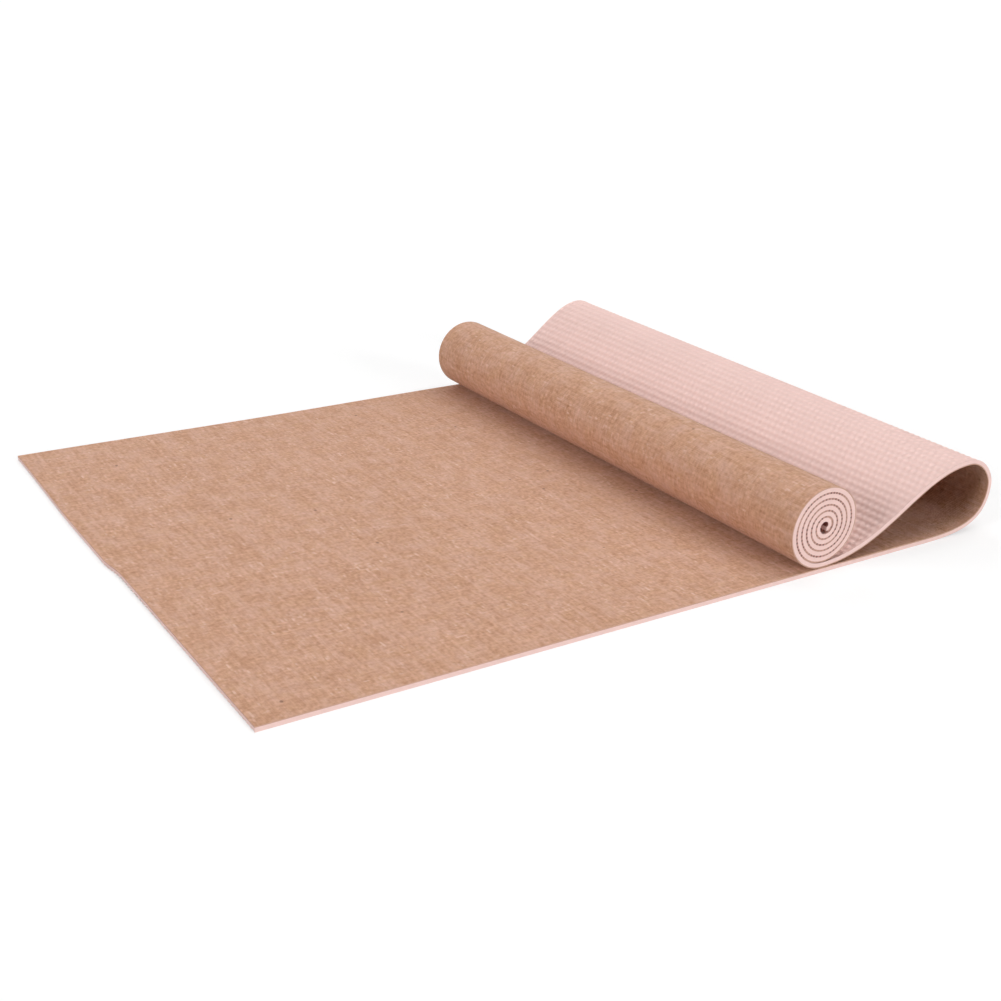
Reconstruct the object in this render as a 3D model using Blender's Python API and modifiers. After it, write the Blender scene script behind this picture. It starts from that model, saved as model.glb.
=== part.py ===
"""A yoga mat, half unrolled.

Three layers share one course: a foam base, the scrim that is cast into it, and a jute face bonded on top. The
mat lies flat with the jute up, bends up and back over itself, and what is left of it is wound into a roll
that rests on the flat run with the jute outside. The loop stands higher at the far edge than at the near one,
so each layer is lofted between two unlike edge lines. Metres, +Z up, X along the mat, Y across it.
"""

import math
from typing import NamedTuple

import bmesh
import bpy
import numpy as np

# The sheet
MAT_LENGTH = 1.830
MAT_WIDTH = 0.610
FOAM_THICKNESS = 0.0035
JUTE_THICKNESS = 0.0010
BOND_LINE = 0.0003

# The scrim, halfway up the foam: it shows only at the cut end, and foam closes round it elsewhere
SCRIM_THICKNESS = 0.0003
SCRIM_CLEARANCE = 0.0003
SCRIM_EDGE_MARGIN = 0.0040
POCKET_OVERRUN = 0.0010

# The roll: the sag flattens every turn, and the inner end is tucked in over its last part of a turn
ROLL_TURNS = 5.93
ROLL_REST_GAP = 0.0005
ROLL_SAG_SHARE = 0.012
ROLL_TUCK = 0.0012
ROLL_TUCK_TURNS = 0.6

# The near edge: the core radius is that of the roll's spiral where the mat ends, at mid-thickness. Reaches run
# from under the roll's axis and heights from the floor, both to the outer skin. The shares place the handles
# of each curve
NEAR_CORE_RADIUS = 0.0048
NEAR_TURN_AIR = 0.00084
NEAR_BEND_REACH = 0.1357
NEAR_NOSE_REACH = 0.2188
NEAR_NOSE_HEIGHT = 0.0439
NEAR_CREST_REACH = 0.1832
NEAR_CREST_HEIGHT = 0.0754
NEAR_BEND_SHARES = (0.64, 0.84)
NEAR_BACK_SHARES = (0.34, 0.63)
NEAR_STRIP_SHARES = (0.36, 0.45)

# The far edge
FAR_CORE_RADIUS = 0.00573
FAR_TURN_AIR = 0.00059
FAR_BEND_REACH = 0.1490
FAR_NOSE_REACH = 0.2080
FAR_NOSE_HEIGHT = 0.0390
FAR_CREST_REACH = 0.1620
FAR_CREST_HEIGHT = 0.0900
FAR_BEND_SHARES = (0.65, 0.60)
FAR_BACK_SHARES = (0.48, 0.45)
FAR_STRIP_SHARES = (0.27, 0.49)

# How finely the course is stepped. The finer steps only measure its length
TURN_STEPS = 24
BEND_STEPS = 16
BACK_STEPS = 12
STRIP_STEPS = 14
WIDTH_STEPS = 2
FINER_STEPS = 20
SHARP_ANGLE = math.radians(40)

# Colour and roughness
FOAM_LOOK = ((0.83, 0.57, 0.52), 0.85)
JUTE_LOOK = ((0.56, 0.35, 0.23), 0.95)
SCRIM_LOOK = ((0.86, 0.84, 0.80), 0.70)

# Worked out
MAT_THICKNESS = FOAM_THICKNESS + BOND_LINE + JUTE_THICKNESS
HALF_THICKNESS = MAT_THICKNESS / 2
FOOT_HEIGHT = MAT_THICKNESS + ROLL_REST_GAP + HALF_THICKNESS
TIGHTEST_RADIUS = NEAR_CORE_RADIUS - ROLL_TUCK
FOAM_MIDDLE = FOAM_THICKNESS / 2 - HALF_THICKNESS
POCKET_THICKNESS = SCRIM_THICKNESS + 2 * SCRIM_CLEARANCE

# Which way a sheet is thickened from its rows: to the jute's side of the mat, or to the foam's
JUTEWARD = 1
FOAMWARD = -1


class Edge(NamedTuple):
    """What the course along one long edge is worked out from."""

    core_radius: float
    turn_air: float
    bend_reach: float
    nose_reach: float
    nose_height: float
    crest_reach: float
    crest_height: float
    bend_shares: tuple
    back_shares: tuple
    strip_shares: tuple


NEAR_EDGE = Edge(
    NEAR_CORE_RADIUS,
    NEAR_TURN_AIR,
    NEAR_BEND_REACH,
    NEAR_NOSE_REACH,
    NEAR_NOSE_HEIGHT,
    NEAR_CREST_REACH,
    NEAR_CREST_HEIGHT,
    NEAR_BEND_SHARES,
    NEAR_BACK_SHARES,
    NEAR_STRIP_SHARES,
)
FAR_EDGE = Edge(
    FAR_CORE_RADIUS,
    FAR_TURN_AIR,
    FAR_BEND_REACH,
    FAR_NOSE_REACH,
    FAR_NOSE_HEIGHT,
    FAR_CREST_REACH,
    FAR_CREST_HEIGHT,
    FAR_BEND_SHARES,
    FAR_BACK_SHARES,
    FAR_STRIP_SHARES,
)


def curve(start, start_handle, end_handle, end, steps):
    """Points and headings along a cubic curve, one row for each."""
    along = np.linspace(0, 1, steps + 1)[:, None]
    left = 1 - along
    points = (
        left**3 * start
        + 3 * left**2 * along * start_handle
        + 3 * left * along**2 * end_handle
        + along**3 * end
    )
    headings = (
        left**2 * (start_handle - start)
        + 2 * left * along * (end_handle - start_handle)
        + along**2 * (end - end_handle)
    )
    return points, headings


def winding(edge, finer, shortfall):
    """Points and headings along the roll's spiral, one unbroken line from the roll's foot to its core, or to
    the shortfall before it. The steps of all turns lie on the same radii, so the turns' flats are parallel."""
    pitch = MAT_THICKNESS + edge.turn_air
    foot_radius = edge.core_radius + pitch * ROLL_TURNS
    wide = 1 + ROLL_SAG_SHARE
    low = 1 - ROLL_SAG_SHARE
    axis_height = FOOT_HEIGHT + low * foot_radius
    last_turn = ROLL_TURNS - shortfall / (math.tau * TIGHTEST_RADIUS)
    last_step = math.ceil(last_turn * TURN_STEPS * finer)
    turn = np.minimum(np.arange(last_step + 1) / (TURN_STEPS * finer), last_turn)
    angle = -math.pi / 2 - math.tau * turn
    tucked = np.maximum(turn - ROLL_TURNS + ROLL_TUCK_TURNS, 0) / ROLL_TUCK_TURNS
    radius = foot_radius - pitch * turn - ROLL_TUCK * tucked**2
    closing = pitch + 2 * ROLL_TUCK * tucked / ROLL_TUCK_TURNS
    x = wide * radius * np.cos(angle)
    z = axis_height + low * radius * np.sin(angle)
    x_heading = wide * (math.tau * radius * np.sin(angle) - closing * np.cos(angle))
    z_heading = low * (-math.tau * radius * np.cos(angle) - closing * np.sin(angle))
    return np.stack([x, z], axis=1), np.stack([x_heading, z_heading], axis=1)


def free_course(edge, finer=1, shortfall=0):
    """The mid-thickness line past the flat run, as points and unit headings, with x = 0 under the roll's axis:
    up the bend to the nose, back to the crest, down the strip to the roll's foot, and round the roll."""
    level = np.array([1, 0])
    upright = np.array([0, 1])
    lift_off = np.array([edge.bend_reach, HALF_THICKNESS])
    nose = np.array([edge.nose_reach - HALF_THICKNESS, edge.nose_height])
    crest = np.array([edge.crest_reach, edge.crest_height - HALF_THICKNESS])
    foot = np.array([0, FOOT_HEIGHT])
    lift_off_share, nose_share = edge.bend_shares
    lift_off_handle = lift_off + lift_off_share * level * (nose - lift_off)
    nose_handle = nose - nose_share * upright * (nose - lift_off)
    rise_share, crest_share = edge.back_shares
    rise_handle = nose + rise_share * upright * (crest - nose)
    crest_handle = crest - crest_share * level * (crest - nose)
    fall_share, foot_share = edge.strip_shares
    fall_handle = crest + fall_share * level * (foot - crest)
    foot_handle = foot - foot_share * level * (foot - crest)
    bend = curve(lift_off, lift_off_handle, nose_handle, nose, BEND_STEPS * finer)
    back = curve(nose, rise_handle, crest_handle, crest, BACK_STEPS * finer)
    strip = curve(crest, fall_handle, foot_handle, foot, STRIP_STEPS * finer)
    roll = winding(edge, finer, shortfall)
    points = np.concatenate([bend[0][:-1], back[0][:-1], strip[0][:-1], roll[0]])
    headings = np.concatenate([bend[1][:-1], back[1][:-1], strip[1][:-1], roll[1]])
    return points, headings / np.linalg.norm(headings, axis=1)[:, None]


def flat_run(edge):
    """The length that lies flat: what the free course leaves of the mat's length."""
    fine_points = free_course(edge, FINER_STEPS)[0]
    return MAT_LENGTH - np.linalg.norm(np.diff(fine_points, axis=0), axis=1).sum()


def section_line(edge, offset, start, shortfall):
    """A line of an edge in section, offset from the mid-thickness towards the jute. The mat's cut end is at
    x = 0, and the line runs from the start to the shortfall before the roll's core."""
    free_points, free_headings = free_course(edge, shortfall=shortfall)
    roll_axis = flat_run(edge) - edge.bend_reach
    points = np.concatenate([[[start, HALF_THICKNESS]], free_points + [roll_axis, 0]])
    headings = np.concatenate([free_headings[:1], free_headings])
    normals = np.stack([-headings[:, 1], headings[:, 0]], axis=1)
    return points + offset * normals


def lofted_rows(offset, margin=0, start=0, shortfall=0):
    """Lines at even steps across the mat, lofted from the near edge's line to the far one's. The margin is
    what they leave of the mat at its long edges."""
    near = section_line(NEAR_EDGE, offset, start, shortfall)
    far = section_line(FAR_EDGE, offset, start, shortfall)
    rows = []
    for across in np.linspace(margin, MAT_WIDTH - margin, WIDTH_STEPS + 1):
        line = near + across / MAT_WIDTH * (far - near)
        rows.append(np.insert(line, 1, across, axis=1))
    return rows


def least_self_gap(skins):
    """The least distance, from each point to each step of one row's two skins, between stretches that lie
    further apart along the mat than its core is wide."""
    middle = (skins[0] + skins[1]) / 2
    steps = np.linalg.norm(np.diff(middle, axis=0), axis=1)
    travelled = np.concatenate([[0], np.cumsum(steps)])
    core_width = 2 * NEAR_CORE_RADIUS
    least = math.inf
    for skin in skins:
        for other in skins:
            starts = other[:-1]
            spans = other[1:] - starts
            for point, place in zip(skin, travelled):
                share = ((point - starts) * spans).sum(axis=1) / (spans**2).sum(axis=1)
                nearest = starts + np.clip(share, 0, 1)[:, None] * spans
                distances = np.linalg.norm(point - nearest, axis=1)
                elsewhere = (place - travelled[1:] > core_width) | (travelled[:-1] - place > core_width)
                least = min(least, distances[elsewhere].min())
    return least


def material(name, look):
    colour, roughness = look
    made = bpy.data.materials.new(name)
    made.use_nodes = True
    principled = made.node_tree.nodes["Principled BSDF"]
    principled.inputs["Base Color"].default_value = (*colour, 1)
    principled.inputs["Roughness"].default_value = roughness
    principled.inputs["Metallic"].default_value = 0
    return made


def loft(name, rows):
    """An open sheet through the rows: a grid of unit size, laid on them point by point."""
    last_row = len(rows) - 1
    last_column = len(rows[0]) - 1
    sheet = bmesh.new()
    bmesh.ops.create_grid(sheet, x_segments=last_column, y_segments=last_row, size=1)
    for vert in sheet.verts:
        column = round((vert.co.x + 1) / 2 * last_column)
        row = round((vert.co.y + 1) / 2 * last_row)
        vert.co = rows[row][column]
    mesh = bpy.data.meshes.new(name)
    sheet.to_mesh(mesh)
    sheet.free()
    return mesh


def sheet(name, rows, thickness, towards, collection):
    """A closed sheet: its rows' loft, thickened to one side."""
    piece = bpy.data.objects.new(name, loft(name, rows))
    collection.objects.link(piece)
    thicken = piece.modifiers.new("Thicken", "SOLIDIFY")
    thicken.thickness = thickness
    thicken.offset = towards
    thicken.use_even_offset = True
    return piece


def finished(piece, look):
    """The piece with its modifiers made real, its round faces smooth, its cut edges sharp and its material."""
    graph = bpy.context.evaluated_depsgraph_get()
    solid = bpy.data.meshes.new_from_object(piece.evaluated_get(graph))
    piece.modifiers.clear()
    piece.data = solid
    solid.shade_smooth()
    solid.set_sharp_from_angle(angle=SHARP_ANGLE)
    solid.materials.append(material(piece.name, look))
    return piece


def make_foam_base(rows, collection, cutters):
    """The foam, with the pocket that it closes round the scrim, open at the mat's cut end."""
    foam_base = sheet("foam_base", rows, FOAM_THICKNESS, JUTEWARD, collection)
    pocket_rows = lofted_rows(
        FOAM_MIDDLE - POCKET_THICKNESS / 2,
        margin=SCRIM_EDGE_MARGIN - SCRIM_CLEARANCE,
        start=-POCKET_OVERRUN,
        shortfall=SCRIM_EDGE_MARGIN - SCRIM_CLEARANCE,
    )
    pocket = sheet("scrim_pocket", pocket_rows, POCKET_THICKNESS, JUTEWARD, cutters)
    pocket.hide_render = True
    pocket.display_type = "WIRE"
    hollow = foam_base.modifiers.new("Pocket", "BOOLEAN")
    hollow.operation = "DIFFERENCE"
    hollow.object = pocket
    return finished(foam_base, FOAM_LOOK)


def make_scrim(collection):
    rows = lofted_rows(
        FOAM_MIDDLE - SCRIM_THICKNESS / 2, margin=SCRIM_EDGE_MARGIN, shortfall=SCRIM_EDGE_MARGIN
    )
    return finished(sheet("scrim", rows, SCRIM_THICKNESS, JUTEWARD, collection), SCRIM_LOOK)


def make_jute_face(rows, collection):
    return finished(sheet("jute_face", rows, JUTE_THICKNESS, FOAMWARD, collection), JUTE_LOOK)


def main():
    for leftover in list(bpy.data.objects):
        bpy.data.objects.remove(leftover)
    collection = bpy.data.collections.new("yoga_mat")
    cutters = bpy.data.collections.new("cutters")
    bpy.context.scene.collection.children.link(collection)
    bpy.context.scene.collection.children.link(cutters)
    centre = bpy.data.objects.new("mat_centre", None)
    collection.objects.link(centre)

    foam_skin = lofted_rows(-HALF_THICKNESS)
    jute_skin = lofted_rows(HALF_THICKNESS)
    pieces = [
        make_foam_base(foam_skin, collection, cutters),
        make_scrim(collection),
        make_jute_face(jute_skin, collection),
    ]
    overall_length = max(row[:, 0].max() for row in foam_skin)
    for piece in pieces:
        piece.parent = centre
        piece.location = (-overall_length / 2, -MAT_WIDTH / 2, 0)

    print(f"flat run: near {flat_run(NEAR_EDGE):.4f} m, far {flat_run(FAR_EDGE):.4f} m")
    for row, skins in enumerate(zip(foam_skin, jute_skin)):
        gap = least_self_gap(skins)
        print(f"least gap of the mat to itself, row {row} of {WIDTH_STEPS}: {gap * 1000:.3f} mm")


main()
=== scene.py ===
"""Dresses a half unrolled yoga mat: pink foam with a studded grain, its scrim, and a jute face."""

import math

import bmesh
import bpy
import numpy as np
from bpy.props import FloatProperty, FloatVectorProperty, IntProperty, PointerProperty
from mathutils import Matrix, Vector


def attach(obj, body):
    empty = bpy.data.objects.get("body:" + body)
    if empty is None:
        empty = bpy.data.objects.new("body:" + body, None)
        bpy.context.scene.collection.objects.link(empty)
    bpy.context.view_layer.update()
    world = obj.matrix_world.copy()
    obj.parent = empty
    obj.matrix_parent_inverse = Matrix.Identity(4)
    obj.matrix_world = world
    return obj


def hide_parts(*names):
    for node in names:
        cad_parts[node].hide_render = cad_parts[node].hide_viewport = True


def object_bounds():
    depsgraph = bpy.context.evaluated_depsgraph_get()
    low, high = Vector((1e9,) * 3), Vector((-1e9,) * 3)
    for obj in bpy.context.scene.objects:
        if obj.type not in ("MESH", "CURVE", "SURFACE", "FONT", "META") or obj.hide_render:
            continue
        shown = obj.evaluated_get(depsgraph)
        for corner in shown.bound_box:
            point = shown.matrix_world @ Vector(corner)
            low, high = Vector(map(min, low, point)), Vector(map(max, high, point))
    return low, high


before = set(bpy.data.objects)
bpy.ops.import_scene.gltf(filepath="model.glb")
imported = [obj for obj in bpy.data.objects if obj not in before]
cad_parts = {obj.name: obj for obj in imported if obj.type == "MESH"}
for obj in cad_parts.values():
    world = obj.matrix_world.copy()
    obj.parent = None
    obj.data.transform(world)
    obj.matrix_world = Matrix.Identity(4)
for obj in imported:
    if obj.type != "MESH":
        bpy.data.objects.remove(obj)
CAD_BOX = [list(corner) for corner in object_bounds()]
NEAR_LEFT_CORNER = Vector((CAD_BOX[0][0], CAD_BOX[0][1], 0))

bl_info = {
    "name": "Half unrolled yoga mat",
    "version": (1, 0, 0),
    "blender": (4, 5, 0),
    "location": "View3D > Sidebar > Yoga Mat",
    "description": "Builds a jute faced foam mat with its loop and roll, and a plain studio round it",
    "category": "Object",
}

# The UV map that keeps each point's place on the flat mat: along it, then across it, in metres
LAID = "laid"


class MatCut(bpy.types.PropertyGroup):
    """The mat as it was cut, before it was laid."""

    length: FloatProperty(name="Length", description="Along the mat, unrolled", default=1.83, unit="LENGTH")
    width: FloatProperty(name="Width", description="Across the mat", default=0.61, unit="LENGTH")
    foam: FloatProperty(name="Foam", description="Foam and bond film", default=0.0038, unit="LENGTH")
    jute: FloatProperty(name="Jute", description="Thickness of the cloth", default=0.001, unit="LENGTH")
    scrim: FloatProperty(name="Scrim", description="Thickness of the net", default=0.0003, unit="LENGTH")
    scrim_margin: FloatProperty(
        name="Scrim margin", description="Foam round the net at its edges", default=0.004, unit="LENGTH"
    )
    scrim_proud: FloatProperty(
        name="Scrim proud", description="Yarn ends past the cut end", default=0.0003, unit="LENGTH"
    )
    stud_row_pitch: FloatProperty(
        name="Stud row pitch", description="From one row of studs to the next", default=0.00785, unit="LENGTH"
    )
    studs_across: IntProperty(name="Studs across", description="Studs in a row", default=88)
    stud_height: FloatProperty(
        name="Stud height", description="Studs over the grooves round them", default=0.0009, unit="LENGTH"
    )
    end_bulge: FloatProperty(
        name="End bulge", description="How far the cut end juts out", default=0.0038, unit="LENGTH"
    )
    far_bow: FloatProperty(
        name="Far bow", description="How far the far edge bows in", default=0.003, unit="LENGTH"
    )


def near_and_far(name, description, default, unit="NONE"):
    return FloatVectorProperty(
        name=name,
        description=f"{description}, at the near and the far edge",
        default=default,
        size=2,
        unit=unit,
    )


class MatLay(bpy.types.PropertyGroup):
    """How the mat lies: reaches run from under the roll's axis, heights from the floor, to the outer skin."""

    turns: FloatProperty(name="Turns", description="Turns of the roll", default=5.93)
    tuck: FloatProperty(
        name="Tuck", description="How far the inner end is tucked in", default=0.0012, unit="LENGTH"
    )
    tuck_turns: FloatProperty(name="Tuck turns", description="Over how much of a turn", default=0.6)
    rest_gap: FloatProperty(
        name="Rest gap", description="Under the roll, over the flat run", default=0.0005, unit="LENGTH"
    )
    sag_share: FloatProperty(name="Sag", description="How far the turns are flattened", default=0.012)
    core_radius: near_and_far(
        "Core radius", "The spiral's mid-thickness radius at the inner end", (0.0048, 0.00573), "LENGTH"
    )
    turn_air: near_and_far("Turn air", "Air between turns", (0.00084, 0.00059), "LENGTH")
    spring: near_and_far("Spring", "How far the cloth swells between turns", (0.00070, 0.00045), "LENGTH")
    bend_reach: near_and_far("Bend reach", "Where the mat lifts off", (0.1357, 0.1490), "LENGTH")
    nose_reach: near_and_far("Nose reach", "The loop's furthest reach", (0.2188, 0.2080), "LENGTH")
    nose_height: near_and_far("Nose height", "Height of that reach", (0.0439, 0.0390), "LENGTH")
    crest_reach: near_and_far("Crest reach", "The loop's highest line", (0.1832, 0.1620), "LENGTH")
    crest_height: near_and_far("Crest height", "Height of that line", (0.0754, 0.0900), "LENGTH")
    lift_share: near_and_far("Lift handle", "Start of the bend", (0.64, 0.65))
    nose_share: near_and_far("Nose handle", "End of the bend", (0.84, 0.60))
    rise_share: near_and_far("Rise handle", "Start of the rise", (0.34, 0.48))
    crest_share: near_and_far("Crest handle", "End of the rise", (0.63, 0.45))
    fall_share: near_and_far("Fall handle", "Start of the strip", (0.36, 0.27))
    foot_share: near_and_far("Foot handle", "End of the strip", (0.45, 0.49))


def paint(name, description, default):
    return FloatVectorProperty(
        name=name, description=description, default=default, size=3, subtype="COLOR"
    )


class MatColours(bpy.types.PropertyGroup):
    """Linear colours of the finishes."""

    foam: paint("Foam", "Pink foam", (0.925, 0.652, 0.602))
    foam_cut: paint("Cut foam", "The foam's cut faces", (0.97, 0.69, 0.64))
    # Painted shade: the colour that the foam deep in the roll's core is darkened to
    foam_core_shade: paint("Foam in the core", "Foam deep in the roll's core", (0.42, 0.16, 0.13))
    jute: paint("Jute", "The cloth's main yarn", (0.605, 0.331, 0.210))
    jute_grain: paint("Jute grain", "From its darker to its lighter yarns", (0.62, 0.46, 0.376))
    jute_haze: paint("Bleached jute", "Where the cloth is bleached", (0.74, 0.48, 0.41))
    jute_ochre: paint("Ochre jute", "Where the cloth is yellower", (0.62, 0.37, 0.17))
    jute_pale: paint("Pale jute", "Its palest fibres", (0.86, 0.63, 0.53))
    jute_dark: paint("Husk", "Flecks of husk in it", (0.20, 0.09, 0.05))
    jute_ends: paint("Yarn ends", "Its cut yarn ends", (0.66, 0.39, 0.29))
    jute_pressed: paint("Pressed ends", "The ends between the roll's turns", (0.62, 0.33, 0.28))
    jute_shadow: paint("Between yarn ends", "The gaps between them", (0.17, 0.07, 0.05))
    scrim: paint("Scrim", "Yarn of the net", (0.86, 0.84, 0.80))


class MatView(bpy.types.PropertyGroup):
    """Where the picture is taken from, measured from the flat end's near corner."""

    stand: FloatVectorProperty(
        name="Stand",
        description="The camera's place",
        default=(-0.3308, -0.815, 0.5385),
        size=3,
        subtype="XYZ",
    )
    yaw: FloatProperty(
        name="Yaw",
        description="From straight across the mat",
        default=math.radians(33.079),
        subtype="ANGLE",
    )
    pitch: FloatProperty(
        name="Pitch", description="Downwards", default=math.radians(22.393), subtype="ANGLE"
    )
    roll: FloatProperty(
        name="Roll", description="About the line of sight", default=math.radians(1.835), subtype="ANGLE"
    )
    lens: FloatProperty(name="Lens", description="Focal length on a 36 mm sensor, in mm", default=51.264)


def cubic(start, start_handle, end_handle, end, steps):
    along = np.linspace(0, 1, steps + 1)[:, None]
    left = 1 - along
    return (
        left**3 * start
        + 3 * left**2 * along * start_handle
        + 3 * left * along**2 * end_handle
        + along**3 * end
    )


class Course:
    """The mid-thickness line of both long edges, and of any line between them."""

    PIECE_STEPS = 160
    TURN_STEPS = 240

    def __init__(self, cut, lay):
        self.length = cut.length
        self.width = cut.width
        self.thickness = cut.foam + cut.jute
        self.lines = [self.edge_line(lay, end) for end in (0, 1)]
        self.crest = 2 * self.PIECE_STEPS + 1
        self.foot = 3 * self.PIECE_STEPS + 1
        self.travelled = [self.distances(line) for line in self.lines]
        self.rows = {}

    def edge_line(self, lay, end):
        half = self.thickness / 2
        level = np.array([1, 0])
        upright = np.array([0, 1])
        lift = np.array([lay.bend_reach[end], half])
        nose = np.array([lay.nose_reach[end] - half, lay.nose_height[end]])
        crest = np.array([lay.crest_reach[end], lay.crest_height[end] - half])
        foot = np.array([0, self.thickness + lay.rest_gap + half])
        bend = cubic(
            lift,
            lift + lay.lift_share[end] * level * (nose - lift),
            nose - lay.nose_share[end] * upright * (nose - lift),
            nose,
            self.PIECE_STEPS,
        )
        back = cubic(
            nose,
            nose + lay.rise_share[end] * upright * (crest - nose),
            crest - lay.crest_share[end] * level * (crest - nose),
            crest,
            self.PIECE_STEPS,
        )
        strip = cubic(
            crest,
            crest + lay.fall_share[end] * level * (foot - crest),
            foot - lay.foot_share[end] * level * (foot - crest),
            foot,
            self.PIECE_STEPS,
        )
        free = np.concatenate([bend[:-1], back[:-1], strip[:-1], self.winding(lay, end, foot[1])])
        flat_run = self.length - self.distances(free)[-1]
        free[:, 0] += flat_run - lift[0]
        return np.concatenate([[[0, half]], free])

    def winding(self, lay, end, foot_height):
        """The roll, from its foot inwards: a flattened spiral whose inner end is tucked in."""
        pitch = self.thickness + lay.turn_air[end]
        foot_radius = lay.core_radius[end] + pitch * lay.turns
        turn = np.append(np.arange(0, lay.turns, 1 / self.TURN_STEPS), lay.turns)
        tucked = np.maximum(turn - lay.turns + lay.tuck_turns, 0) / lay.tuck_turns
        radius = foot_radius - pitch * turn - lay.tuck * tucked**2
        angle = -math.pi / 2 - math.tau * turn
        x = (1 + lay.sag_share) * radius * np.cos(angle)
        z = foot_height + (1 - lay.sag_share) * (foot_radius + radius * np.sin(angle))
        return np.stack([x, z], axis=1)

    @staticmethod
    def distances(line):
        return np.concatenate([[0], np.cumsum(np.linalg.norm(np.diff(line, axis=0), axis=1))])

    def row(self, across):
        """Distance from the cut end, x, z and heading along the line this far across the mat."""
        if across not in self.rows:
            share = across / self.width
            travelled = self.travelled[0] + share * (self.travelled[1] - self.travelled[0])
            line = self.lines[0] + share * (self.lines[1] - self.lines[0])
            steps = np.diff(line, axis=0)
            heading = np.unwrap(np.arctan2(steps[:, 1], steps[:, 0]))
            middles = (travelled[1:] + travelled[:-1]) / 2
            self.rows[across] = travelled, line, middles, heading
        return self.rows[across]

    def place(self, along, across, offset):
        """Points of one row: along and offset are arrays, the offset from mid-thickness towards the jute.

        Before the cut end, where along is under 0, the line runs on flat.
        """
        past_end = np.minimum(along, 0)
        travelled, line, middles, heading = self.row(across)
        x = np.interp(along, travelled, line[:, 0])
        z = np.interp(along, travelled, line[:, 1])
        angle = np.interp(along, middles, heading)
        return x + past_end - offset * np.sin(angle), z + offset * np.cos(angle)

    def turn_stations(self, steps):
        """Distances at even steps of angle round the roll, averaged over the two edges."""
        every = self.TURN_STEPS // steps
        mean = (self.travelled[0] + self.travelled[1]) / 2
        return np.append(mean[self.foot + every :: every], self.length)


def smooth_step(low, high, value):
    share = np.clip((value - low) / (high - low), 0, 1)
    return share * share * (3 - 2 * share)


# Across the mat: the cut end jogs out between the first two, and comes back from the third to the far edge
JOG_START = 0.285
JOG_END = 0.320
BULGE_FADES_FROM = 0.40
# How far along the mat that reaches
BULGE_REACH = 0.05
# How much of the far edge bows in, from the cut end, and from how far across
BOW_LENGTH = 0.52
BOW_START = 0.25


def plan_shift(cut, along, across):
    """What the real cut and lie add in plan: the end stands out past a jog, and the far edge bows in."""
    jutting = smooth_step(JOG_START, JOG_END, across)
    jutting *= 1 - smooth_step(BULGE_FADES_FROM, cut.width, across)
    bulge = -cut.end_bulge * jutting * (1 - smooth_step(0, BULGE_REACH, along))
    arch = np.sin(np.clip(along / BOW_LENGTH, 0, 1) * math.pi) ** 2
    return bulge, -cut.far_bow * arch * smooth_step(BOW_START, cut.width, across)


def flat_slab(stations, rows, low, high):
    """A closed slab laid out flat: x is the distance along the mat, y across it, z its height in the mat."""
    slab = bmesh.new()
    last_column = len(stations) - 1
    last_row = len(rows) - 1
    bmesh.ops.create_grid(slab, x_segments=last_column, y_segments=last_row, size=1)
    for vert in slab.verts:
        column = round((vert.co.x + 1) / 2 * last_column)
        row = round((vert.co.y + 1) / 2 * last_row)
        vert.co = (stations[column], rows[row], low)
    raised = bmesh.ops.extrude_face_region(slab, geom=slab.faces[:])["geom"]
    top = [item for item in raised if isinstance(item, bmesh.types.BMVert)]
    bmesh.ops.translate(slab, verts=top, vec=(0, 0, high - low))
    bmesh.ops.recalc_face_normals(slab, faces=slab.faces[:])
    return slab


SHARP_ANGLE = math.radians(40)


def lay_slab(slab, name, course, cut, relief=None):
    """Lays a flat slab along the course, keeping its flat place as a UV map, and makes it an object."""
    layer = slab.loops.layers.uv.new(LAID)
    for face in slab.faces:
        face.smooth = True
        for loop in face.loops:
            loop[layer].uv = loop.vert.co.xy
    for edge in slab.edges:
        edge.smooth = len(edge.link_faces) == 2 and edge.calc_face_angle() < SHARP_ANGLE
    verts = slab.verts[:]
    flat = np.array([vert.co for vert in verts])
    keys = np.round(flat[:, 1], 6)
    laid = np.empty_like(flat)
    for across in np.unique(keys):
        chosen = keys == across
        along = flat[chosen, 0]
        height = flat[chosen, 2]
        if relief is not None:
            height = relief(along, across, height)
        x, z = course.place(along, float(across), height - course.thickness / 2)
        bulge, bow = plan_shift(cut, along, across)
        laid[chosen] = np.stack([x + bulge, across + bow, z], axis=1)
    laid += np.array([NEAR_LEFT_CORNER.x, -cut.width / 2, 0])
    for vert, place in zip(verts, laid):
        vert.co = place
    mesh = bpy.data.meshes.new(name)
    slab.to_mesh(mesh)
    slab.free()
    piece = bpy.data.objects.new(name, mesh)
    bpy.context.scene.collection.objects.link(piece)
    return piece


class Value:
    """A shader socket that takes arithmetic."""

    def __init__(self, finish, socket):
        self.finish = finish
        self.socket = socket

    def maths(self, operation, *others):
        return self.finish.maths(operation, self, *others)

    def __add__(self, other):
        return self.maths("ADD", other)

    def __radd__(self, other):
        return self.maths("ADD", other)

    def __sub__(self, other):
        return self.maths("SUBTRACT", other)

    def __rsub__(self, other):
        return self.finish.maths("SUBTRACT", other, self)

    def __mul__(self, other):
        return self.maths("MULTIPLY", other)

    def __rmul__(self, other):
        return self.maths("MULTIPLY", other)

    def __truediv__(self, other):
        return self.maths("DIVIDE", other)


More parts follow.
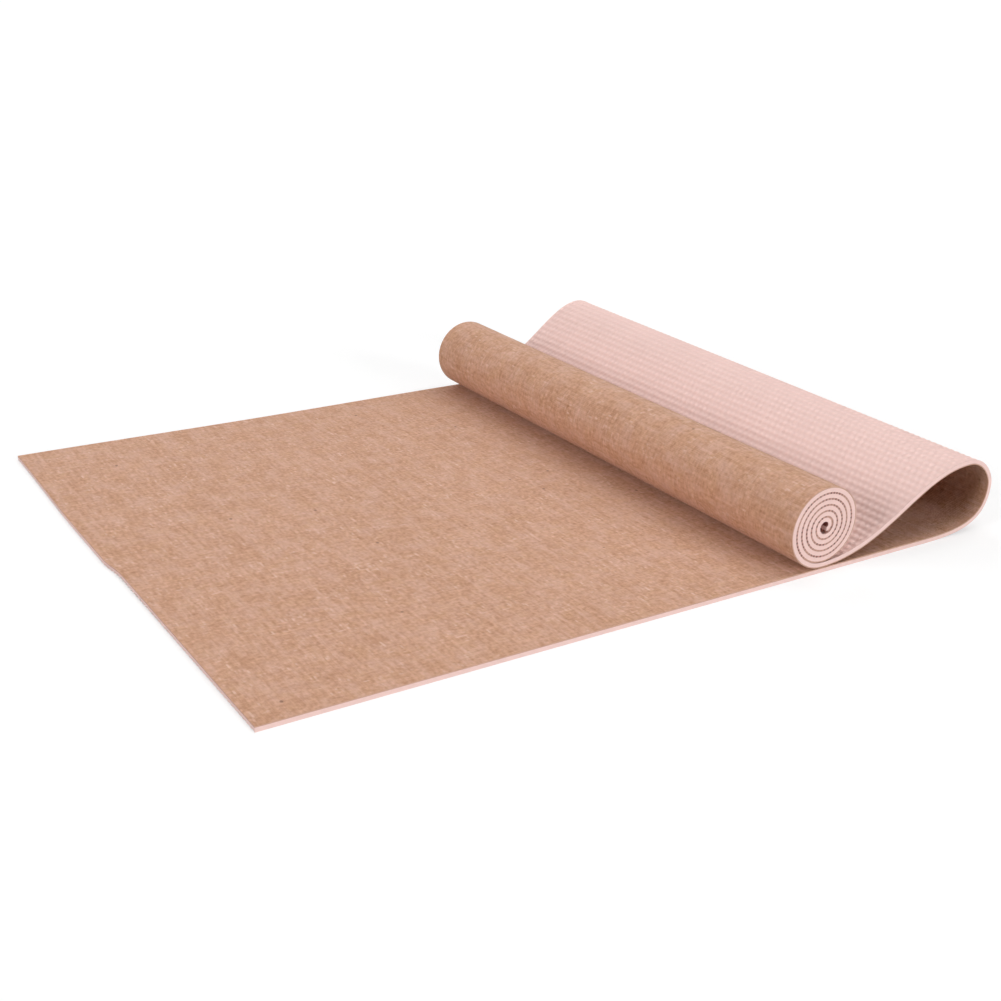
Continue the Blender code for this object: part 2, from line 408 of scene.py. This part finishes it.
class Finish:
    """A material under construction."""

    def __init__(self, name):
        self.material = bpy.data.materials.new(name)
        self.material.use_nodes = True
        self.tree = self.material.node_tree
        self.shader = self.tree.nodes["Principled BSDF"]

    def node(self, kind, settings=None, inputs=None):
        made = self.tree.nodes.new(kind)
        for key, setting in (settings or {}).items():
            setattr(made, key, setting)
        for key, given in (inputs or {}).items():
            self.feed(made.inputs[key], given)
        return made

    def feed(self, socket, given):
        if isinstance(given, Value):
            self.tree.links.new(given.socket, socket)
        else:
            socket.default_value = given

    def value(self, node, output=0):
        return Value(self, node.outputs[output])

    def maths(self, operation, *terms):
        return self.value(self.node("ShaderNodeMath", {"operation": operation}, dict(enumerate(terms))))

    def vector(self, x, y, z=0.0):
        return self.value(self.node("ShaderNodeCombineXYZ", inputs={"X": x, "Y": y, "Z": z}))

    def laid(self):
        """The place on the flat mat: along it and across it."""
        place = self.value(self.node("ShaderNodeUVMap", {"uv_map": LAID}))
        parts = self.node("ShaderNodeSeparateXYZ", inputs={"Vector": place})
        return self.value(parts, "X"), self.value(parts, "Y")

    def noise(self, where, scale=1.0, detail=2.0, roughness=0.5):
        inputs = {"Vector": where, "Scale": scale, "Detail": detail, "Roughness": roughness}
        return self.value(self.node("ShaderNodeTexNoise", inputs=inputs), "Fac")

    def uneven(self, x, y, z, detail=2.0):
        """Noise round 0: x and y are places on the mat, each divided by the size of a cell."""
        return self.noise(self.vector(x, y, z), detail=detail) - 0.5

    def mix(self, factor, first, second):
        """From the first colour to the second: sockets 0, 6 and 7 are the ones that a colour mix uses."""
        made = self.node("ShaderNodeMix", {"data_type": "RGBA"}, {0: factor, 6: first, 7: second})
        return self.value(made, 2)

    def tint(self, colour, factor):
        """The colour multiplied by a grey value."""
        made = self.node("ShaderNodeVectorMath", {"operation": "SCALE"}, {0: colour, "Scale": factor})
        return self.value(made)

    def add(self, first, second):
        return self.value(self.node("ShaderNodeVectorMath", {"operation": "ADD"}, {0: first, 1: second}))

    def ramp(self, factor, low, high):
        """0 below low, 1 above high."""
        inputs = {"Value": factor, "From Min": low, "From Max": high}
        made = self.node("ShaderNodeMapRange", {"interpolation_type": "SMOOTHSTEP", "clamp": True}, inputs)
        return self.value(made)

    def bump(self, height, distance, strength=1.0):
        inputs = {"Height": height, "Distance": distance, "Strength": strength}
        return self.value(self.node("ShaderNodeBump", inputs=inputs))

    def dress(self, sockets):
        for key, given in sockets.items():
            self.feed(self.shader.inputs[key], given)
        return self.material


def opaque(colour):
    return (*colour, 1.0)


# From one yarn to the next: the weft runs across the mat, the warp along it
WEFT_PITCH = 0.00180
WARP_PITCH = 0.00165
# How far from the mat's outline a point still counts as on a cut face
CUT_FACE = 0.0001
# How much of the studs' relief joins them into rows
STUD_ROWS = 0.40
# Painted shade darkens the foam towards its inner end, deep in the roll's core, over this part of the roll
CORE_SHADE_FROM = 0.034
CORE_SHADE_TO = 0.020
# Over how much cloth the yarn ends change from free to pressed between turns
PRESSED_OVER = 0.03


def at_cut(place, size):
    """1 on cut faces: the laid place, along or across the mat, is at 0 or the full size only there."""
    return (place - size / 2).maths("ABSOLUTE").maths("GREATER_THAN", size / 2 - CUT_FACE)


def on_cut_face(f, cut):
    """1 on all the faces that were cut when the mat was."""
    along, across = f.laid()
    return at_cut(along, cut.length).maths("MAXIMUM", at_cut(across, cut.width))


class Weave:
    """The cloth's yarns: their count, how each runs light and dark, and the height of the weave."""

    def __init__(self, f):
        self.along, self.across = f.laid()
        along, across = self.along, self.across
        sway = f.uneven(along / 0.020, across / 0.032, 0.0, detail=1.0)
        drift = f.uneven(along / 0.032, across / 0.020, 5.0, detail=1.0)
        self.weft_count = along / WEFT_PITCH + sway * 2.2
        self.warp_count = across / WARP_PITCH + drift * 1.8
        weft = self.weft_count.maths("FLOOR")
        warp = self.warp_count.maths("FLOOR")
        # Light and dark: yarn by yarn, in long bunches of fibres, in short grains, and at each crossing
        self.weft_run = f.uneven(weft * 5.17, across / 0.012, 0.0)
        self.warp_run = f.uneven(along / 0.010, warp * 7.31, 0.0)
        self.weft_bunch = f.uneven(along / 0.0030, across / 0.038, 4.5, detail=1.5)
        warp_bunch = f.uneven(along / 0.038, across / 0.0030, 7.5, detail=1.5)
        self.weft_grain = f.uneven(along / 0.0028, across / 0.0055, 4.0, detail=1.0)
        self.warp_grain = f.uneven(along / 0.0050, across / 0.0029, 7.0, detail=1.0)
        self.crossing = f.uneven(weft * 3.71, warp * 4.37, 1.5, detail=0.0)
        self.runs = (
            self.weft_run * 0.20 + self.warp_run * 0.18 + self.weft_bunch * 0.24 + warp_bunch * 0.24
        )
        self.grain = self.weft_grain * 0.42 + self.warp_grain * 0.36
        weft_over = self.round_yarn(self.weft_count, math.pi)
        warp_over = self.round_yarn(self.warp_count, math.pi)
        over = ((weft + warp) * 0.5).maths("FRACT").maths("GREATER_THAN", 0.25)
        self.height = (
            over * warp_over * (0.5 + 0.5 * weft_over) + (1 - over) * weft_over * (0.5 + 0.5 * warp_over)
        )

    @staticmethod
    def round_yarn(count, turn):
        return (count * turn).maths("SINE").maths("ABSOLUTE")


def cloth_colour(f, weave, colours):
    """Yarns that run light and dark, painted shade in the hollows of the weave, bleached and ochre patches,
    pale fibres and husk flecks.
    """
    along, across = weave.along, weave.across
    mottle = f.uneven(along / 0.010, across / 0.012, 2.5)
    patch = f.uneven(along / 0.050, across / 0.050, 3.0)
    # Painted shade: the weave's height lightens the raised yarns and darkens the hollows between them; the
    # runs, grains and crossings are the yarns' own tone
    light = 0.06 * weave.height + weave.runs + weave.grain
    light = light + mottle * 0.06 + patch * 0.06 + weave.crossing * 0.18
    colour = f.add(f.tint(tuple(colours.jute_grain), light - 0.05), tuple(colours.jute))

    haze = f.noise(f.vector(along / 0.020, across / 0.026, 6.0), detail=3.0, roughness=0.6)
    threads = f.ramp(weave.weft_grain + 0.7 * weave.warp_grain, -0.15, 0.25)
    haze_mask = f.ramp(haze + 0.4 * weave.weft_bunch, 0.34, 0.80) * (0.80 + 0.20 * threads)
    colour = f.mix(haze_mask * 0.44, colour, opaque(colours.jute_haze))

    ochre = f.noise(f.vector(along / 0.018, across / 0.013, 2.0), detail=3.0, roughness=0.6)
    colour = f.mix(f.ramp(ochre, 0.42, 0.84) * 0.20, colour, opaque(colours.jute_ochre))

    bleach = f.ramp(f.noise(f.vector(along / 0.030, across / 0.030, 9.0), detail=2.0), 0.36, 0.62)
    strand = f.ramp(weave.weft_run, 0.08, 0.24) + f.ramp(weave.warp_run, 0.10, 0.26) * 0.8
    colour = f.mix(strand * bleach * 0.50, colour, opaque(colours.jute_pale))

    cells = f.node(
        "ShaderNodeTexVoronoi", inputs={"Vector": f.vector(along / 0.016, across / 0.020), "Scale": 1.0}
    )
    pick = f.node("ShaderNodeSeparateColor", inputs={"Color": f.value(cells, "Color")})
    chosen = f.value(pick, 0).maths("GREATER_THAN", 0.91)
    fleck = (1 - f.ramp(f.value(cells, "Distance"), 0.05, 0.12)) * chosen
    return f.mix(fleck * 0.75, colour, opaque(colours.jute_dark))


def yarn_end_colour(f, weave, cut, colours, second_turn):
    """Cut yarn ends: free on the outer turn, pressed between the turns, with painted shade in the gaps every
    other yarn there.
    """
    long_edge = at_cut(weave.across, cut.width)
    weft_pair = weave.round_yarn(weave.weft_count, math.pi / 2)
    warp_pair = weave.round_yarn(weave.warp_count, math.pi / 2)
    gap = 1 - f.ramp(long_edge * weft_pair + (1 - long_edge) * warp_pair, 0.30, 0.75)
    place = f.vector(weave.along / 0.022, weave.across / 0.022, 9.0)
    clump = f.ramp(f.noise(place, detail=1.0), 0.35, 0.60)
    pressed = f.ramp(weave.along, second_turn, second_turn + PRESSED_OVER)
    colour = f.mix(pressed * (0.5 + 0.5 * clump), opaque(colours.jute_ends), opaque(colours.jute_pressed))
    # Painted shade in the gaps between the pressed yarn ends
    return f.mix(pressed * gap * (0.15 + 0.85 * clump), colour, opaque(colours.jute_shadow))


def jute_finish(cut, colours, second_turn):
    """Plain weave of uneven yarns."""
    f = Finish("jute_weave")
    weave = Weave(f)
    colour = cloth_colour(f, weave, colours)
    ends = yarn_end_colour(f, weave, cut, colours, second_turn)
    colour = f.mix(on_cut_face(f, cut), colour, ends)
    fine = f.uneven(weave.along / 0.0016, weave.across / 0.0016, 8.0)
    normal = f.bump(weave.height + 3.0 * weave.runs + 3.0 * weave.grain + 0.3 * fine, 0.0004, 0.4)
    return f.dress({"Base Color": colour, "Roughness": 0.95, "Normal": normal, "Sheen Weight": 0.08})


def foam_finish(cut, colours):
    """Soft closed-cell foam: fine pores, painted shade in the grooves between the studs, paler cut faces."""
    f = Finish("foam_skin")
    along, across = f.laid()
    place = f.value(f.node("ShaderNodeTexCoord"), "Object")
    pores = f.noise(place, scale=1400.0) - 0.5
    cloud = f.noise(place, scale=14.0) - 0.5
    row = along / cut.stud_row_pitch * math.pi
    column = across * (cut.studs_across / cut.width * math.tau)
    rows = (row * 2).maths("COSINE")
    studs = row.maths("COSINE") * column.maths("COSINE")
    relief_and_groove_shade = (rows * STUD_ROWS + studs * (1 - STUD_ROWS)) * (0.5 + f.noise(place, scale=90.0))
    # Painted shade: the studs are a little lighter and the grooves between them a little darker; the same
    # pattern gives the studs' bump
    colour = f.tint(tuple(colours.foam), 0.96 + 0.045 * relief_and_groove_shade + cloud * 0.05 + pores * 0.05)
    # Painted shade: the foam darkens towards its inner end, deep in the roll's core
    deep = f.ramp(along, cut.length - CORE_SHADE_FROM, cut.length - CORE_SHADE_TO)
    colour = f.mix(deep, colour, opaque(colours.foam_core_shade))
    cut_face = on_cut_face(f, cut)
    cut_colour = f.tint(tuple(colours.foam_cut), 0.94 + 0.12 * f.noise(place, scale=150.0))
    colour = f.mix(cut_face, colour, cut_colour)
    normal = f.bump(relief_and_groove_shade * (1 - cut_face) * 0.00045 + pores * 0.00005, 1.0)
    return f.dress({"Base Color": colour, "Roughness": 0.75, "Normal": normal})


def scrim_finish(cut, colours):
    """An open net: the yarns are solid and the windows between them clear."""
    f = Finish("scrim_net")
    along, across = f.laid()
    crosswise = ((along / cut.stud_row_pitch + 0.5) * math.tau).maths("COSINE")
    lengthwise = (across * (cut.studs_across / cut.width * math.tau)).maths("COSINE")
    yarn = crosswise.maths("MAXIMUM", lengthwise).maths("GREATER_THAN", 0.8)
    tone = f.noise(f.vector(along / 0.002, across / 0.002))
    colour = f.tint(tuple(colours.scrim), 0.85 + 0.3 * tone)
    return f.dress({"Base Color": colour, "Roughness": 0.8, "Alpha": yarn})


def dress_sheet(piece, material, node):
    piece.data.materials.append(material)
    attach(piece, "root")
    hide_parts(node)


class MAT_OT_foam_base(bpy.types.Operator):
    """Lay the foam, with its studs on the outer side"""

    bl_idname = "yoga_mat.foam_base"
    bl_label = "Foam base"

    # Faces across the mat, and the cuts that each of them gets where the studs are modelled
    SPANS = 11
    CUTS = 15
    STEPS_A_TURN = 48
    # The studs fade out over this much of each long edge
    SMOOTH_RIM = 0.003

    def execute(self, context):
        cut = context.scene.mat_cut
        course = Course(cut, context.scene.mat_lay)
        pitch = cut.stud_row_pitch
        # The studs are modelled up to the roll: 2 stations to a row on the flat run and 4 from where the
        # mat lifts off, with twice as many points across on the strip, which shows
        lift_row = math.floor(min(travelled[1] for travelled in course.travelled) / pitch) - 1
        last_row = math.ceil(max(travelled[course.foot] for travelled in course.travelled) / pitch) + 1
        crest_row = math.floor(min(travelled[course.crest] for travelled in course.travelled) / pitch) - 1
        flat = np.arange(2 * lift_row) / 2
        free = np.arange(4 * lift_row, 4 * last_row + 1) / 4
        grained = np.concatenate([flat, free]) * pitch
        turns = course.turn_stations(self.STEPS_A_TURN)
        stations = np.concatenate([grained, turns[turns > grained[-1] + pitch / 2]])
        slab = flat_slab(stations, np.linspace(0, cut.width, self.SPANS + 1), 0, cut.foam)
        self.split(slab, self.CUTS, 0, grained[-1])
        self.split(slab, 1, crest_row * pitch, grained[-1])

        def relief(along, across, height):
            row = math.pi * along / pitch
            column = math.tau * across * cut.studs_across / cut.width
            stud = STUD_ROWS * np.cos(2 * row) + (1 - STUD_ROWS) * np.cos(row) * np.cos(column)
            depth = cut.stud_height * (1 - stud) / (1 + STUD_ROWS)
            rim = min(across, cut.width - across)
            fade = smooth_step(0, self.SMOOTH_RIM, rim)
            fade = fade * (1 - smooth_step(grained[-1] - 2 * pitch, grained[-1], along))
            return height + (height == 0) * depth * fade

        piece = lay_slab(slab, "foam_sheet", course, cut, relief)
        finish = foam_finish(cut, context.scene.mat_colours)
        dress_sheet(piece, finish, "foam_base")
        return {"FINISHED"}

    @staticmethod
    def split(slab, cuts, start, end):
        """Splits the outer skin's edges that run across the mat, from one distance along it to another."""
        nearly = 1e-6
        across = []
        for edge in slab.edges:
            one, other = (vert.co for vert in edge.verts)
            crosswise = abs(one.x - other.x) < nearly
            if crosswise and one.z == other.z == 0 and start - nearly <= one.x <= end + nearly:
                across.append(edge)
        bmesh.ops.subdivide_edges(slab, edges=across, cuts=cuts, use_grid_fill=True)


class MAT_OT_scrim(bpy.types.Operator):
    """Lay the net halfway up the foam"""

    bl_idname = "yoga_mat.scrim"
    bl_label = "Scrim"

    STEPS_A_TURN = 24
    STEP = 0.004
    ROWS = 5

    def execute(self, context):
        cut = context.scene.mat_cut
        course = Course(cut, context.scene.mat_lay)
        margin = cut.scrim_margin
        turns = course.turn_stations(self.STEPS_A_TURN)
        free = np.arange(course.travelled[0][1], turns[0], self.STEP)
        stations = np.concatenate([[-cut.scrim_proud], free, turns[turns < cut.length - margin]])
        rows = np.linspace(margin, cut.width - margin, self.ROWS)
        slab = flat_slab(stations, rows, (cut.foam - cut.scrim) / 2, (cut.foam + cut.scrim) / 2)
        piece = lay_slab(slab, "scrim_sheet", course, cut)
        finish = scrim_finish(cut, context.scene.mat_colours)
        flat = (cut.width - 2 * margin, cut.length - margin)
        dress_sheet(piece, finish, "scrim")
        return {"FINISHED"}


class MAT_OT_jute_face(bpy.types.Operator):
    """Lay the jute cloth on the foam"""

    bl_idname = "yoga_mat.jute_face"
    bl_label = "Jute face"

    STEPS_A_TURN = 80
    FLAT_STATIONS = 70
    STEP = 0.003
    ROWS = 62
    SPRINGS_UP_OVER = 0.02

    def execute(self, context):
        cut = context.scene.mat_cut
        course = Course(cut, context.scene.mat_lay)
        flat_end = course.travelled[0][1]
        turns = course.turn_stations(self.STEPS_A_TURN)
        flat = np.linspace(0, flat_end, self.FLAT_STATIONS)[:-1]
        stations = np.concatenate([flat, np.arange(flat_end, turns[0], self.STEP), turns])
        rows = np.linspace(0, cut.width, self.ROWS)
        slab = flat_slab(stations, rows, cut.foam, cut.foam + cut.jute)
        second_turn = max(travelled[course.foot + course.TURN_STEPS] for travelled in course.travelled)
        spring = context.scene.mat_lay.spring

        def relief(along, across, height):
            rise = spring[0] + across / cut.width * (spring[1] - spring[0])
            outer = height > cut.foam + cut.jute / 2
            inside = smooth_step(second_turn, second_turn + self.SPRINGS_UP_OVER, along)
            return height + outer * rise * inside

        piece = lay_slab(slab, "jute_sheet", course, cut, relief)
        finish = jute_finish(cut, context.scene.mat_colours, second_turn)
        dress_sheet(piece, finish, "jute_face")
        return {"FINISHED"}


class MAT_OT_stage(bpy.types.Operator):
    """Set a pale floor, soft light and the camera"""

    bl_idname = "yoga_mat.stage"
    bl_label = "Stage"

    # Name, azimuth from +X towards +Y, elevation, spread, all in degrees, and strength
    LAMPS = (
        ("loop_side", 0, 49, 46, 0.70),
        ("overhead", 0, 75, 40, 0.64),
        ("flat_end_side", 182, 23, 24, 1.36),
        ("flat_end_high", 180, 60, 50, 0.28),
        ("far_side", 84, 40, 40, 0.68),
        ("near_side", 287, 13, 26, 1.68),
        ("near_high", 265, 45, 40, 0.22),
    )
    FLOOR_HALF_WIDTH = 12
    FLOOR_GREY = 0.5
    # What brings the floor to white for the camera alone
    FLOOR_GLOW = 0.55
    SKY = 0.04
    BACKDROP = 1.0

    def execute(self, context):
        self.floor(context)
        self.sky(context)
        for lamp in self.LAMPS:
            self.lamp(context, *lamp)
        self.camera(context)
        context.scene.view_settings.view_transform = "Standard"
        return {"FINISHED"}

    def floor(self, context):
        floor = bmesh.new()
        bmesh.ops.create_grid(floor, x_segments=1, y_segments=1, size=self.FLOOR_HALF_WIDTH)
        mesh = bpy.data.meshes.new("floor")
        floor.to_mesh(mesh)
        floor.free()
        piece = bpy.data.objects.new("floor", mesh)
        context.scene.collection.objects.link(piece)
        f = Finish("floor_paper")
        rays = f.node("ShaderNodeLightPath")
        f.dress(
            {
                "Base Color": (self.FLOOR_GREY, self.FLOOR_GREY, self.FLOOR_GREY, 1),
                "Roughness": 1.0,
                "Specular IOR Level": 0.0,
                "Emission Color": (1, 1, 1, 1),
                "Emission Strength": f.value(rays, "Is Camera Ray") * self.FLOOR_GLOW,
            }
        )
        mesh.materials.append(f.material)

    def sky(self, context):
        """A faint even light, which the camera sees as white."""
        world = bpy.data.worlds.new("studio")
        context.scene.world = world
        world.use_nodes = True
        tree = world.node_tree
        light = tree.nodes["Background"]
        backdrop = tree.nodes.new("ShaderNodeBackground")
        for background, strength in ((light, self.SKY), (backdrop, self.BACKDROP)):
            background.inputs["Color"].default_value = (1, 1, 1, 1)
            background.inputs["Strength"].default_value = strength
        rays = tree.nodes.new("ShaderNodeLightPath")
        blend = tree.nodes.new("ShaderNodeMixShader")
        tree.links.new(rays.outputs["Is Camera Ray"], blend.inputs[0])
        tree.links.new(light.outputs[0], blend.inputs[1])
        tree.links.new(backdrop.outputs[0], blend.inputs[2])
        tree.links.new(blend.outputs[0], tree.nodes["World Output"].inputs["Surface"])

    def lamp(self, context, name, azimuth, elevation, spread, strength):
        """A soft, even light from far off."""
        data = bpy.data.lights.new(name, "SUN")
        data.angle = math.radians(spread)
        data.energy = strength
        lamp = bpy.data.objects.new(name, data)
        level = Vector((math.cos(math.radians(azimuth)), math.sin(math.radians(azimuth)), 0))
        rise = math.radians(elevation)
        toward = level * math.cos(rise) + Vector((0, 0, math.sin(rise)))
        lamp.rotation_euler = toward.to_track_quat("Z", "Y").to_euler()
        context.scene.collection.objects.link(lamp)

    def camera(self, context):
        view = context.scene.mat_view
        level = math.cos(view.pitch)
        forward = Vector((math.sin(view.yaw) * level, math.cos(view.yaw) * level, -math.sin(view.pitch)))
        right = Vector((math.cos(view.yaw), -math.sin(view.yaw), 0))
        up = right.cross(forward)
        turned_right = math.cos(view.roll) * right + math.sin(view.roll) * up
        turned_up = math.cos(view.roll) * up - math.sin(view.roll) * right
        data = bpy.data.cameras.new("camera")
        data.lens = view.lens
        data.sensor_width = 36
        camera = bpy.data.objects.new("camera", data)
        context.scene.collection.objects.link(camera)
        axes = Matrix((turned_right, turned_up, -forward)).transposed().to_4x4()
        camera.matrix_world = Matrix.Translation(NEAR_LEFT_CORNER + Vector(view.stand)) @ axes
        context.scene.camera = camera


class MAT_PT_sidebar(bpy.types.Panel):
    """The mat's sizes and colours, its pieces and its stage"""

    bl_idname = "MAT_PT_sidebar"
    bl_label = "Yoga mat"
    bl_space_type = "VIEW_3D"
    bl_region_type = "UI"
    bl_category = "Yoga Mat"

    def draw(self, context):
        for key in GROUPS:
            group = getattr(context.scene, key)
            box = self.layout.box()
            for name in group.__annotations__:
                box.prop(group, name)
        for operator in PIECES:
            self.layout.operator(operator.bl_idname)


PIECES = (MAT_OT_foam_base, MAT_OT_scrim, MAT_OT_jute_face, MAT_OT_stage)
GROUPS = {"mat_cut": MatCut, "mat_lay": MatLay, "mat_colours": MatColours, "mat_view": MatView}


def register():
    for kind in (*GROUPS.values(), *PIECES, MAT_PT_sidebar):
        bpy.utils.register_class(kind)
    for key, group in GROUPS.items():
        setattr(bpy.types.Scene, key, PointerProperty(type=group))


def unregister():
    for key in GROUPS:
        delattr(bpy.types.Scene, key)
    for kind in (*GROUPS.values(), *PIECES, MAT_PT_sidebar):
        bpy.utils.unregister_class(kind)


def main():
    register()
    bpy.ops.yoga_mat.foam_base()
    bpy.ops.yoga_mat.scrim()
    bpy.ops.yoga_mat.jute_face()
    bpy.ops.yoga_mat.stage()


if __name__ == "__main__":
    main()
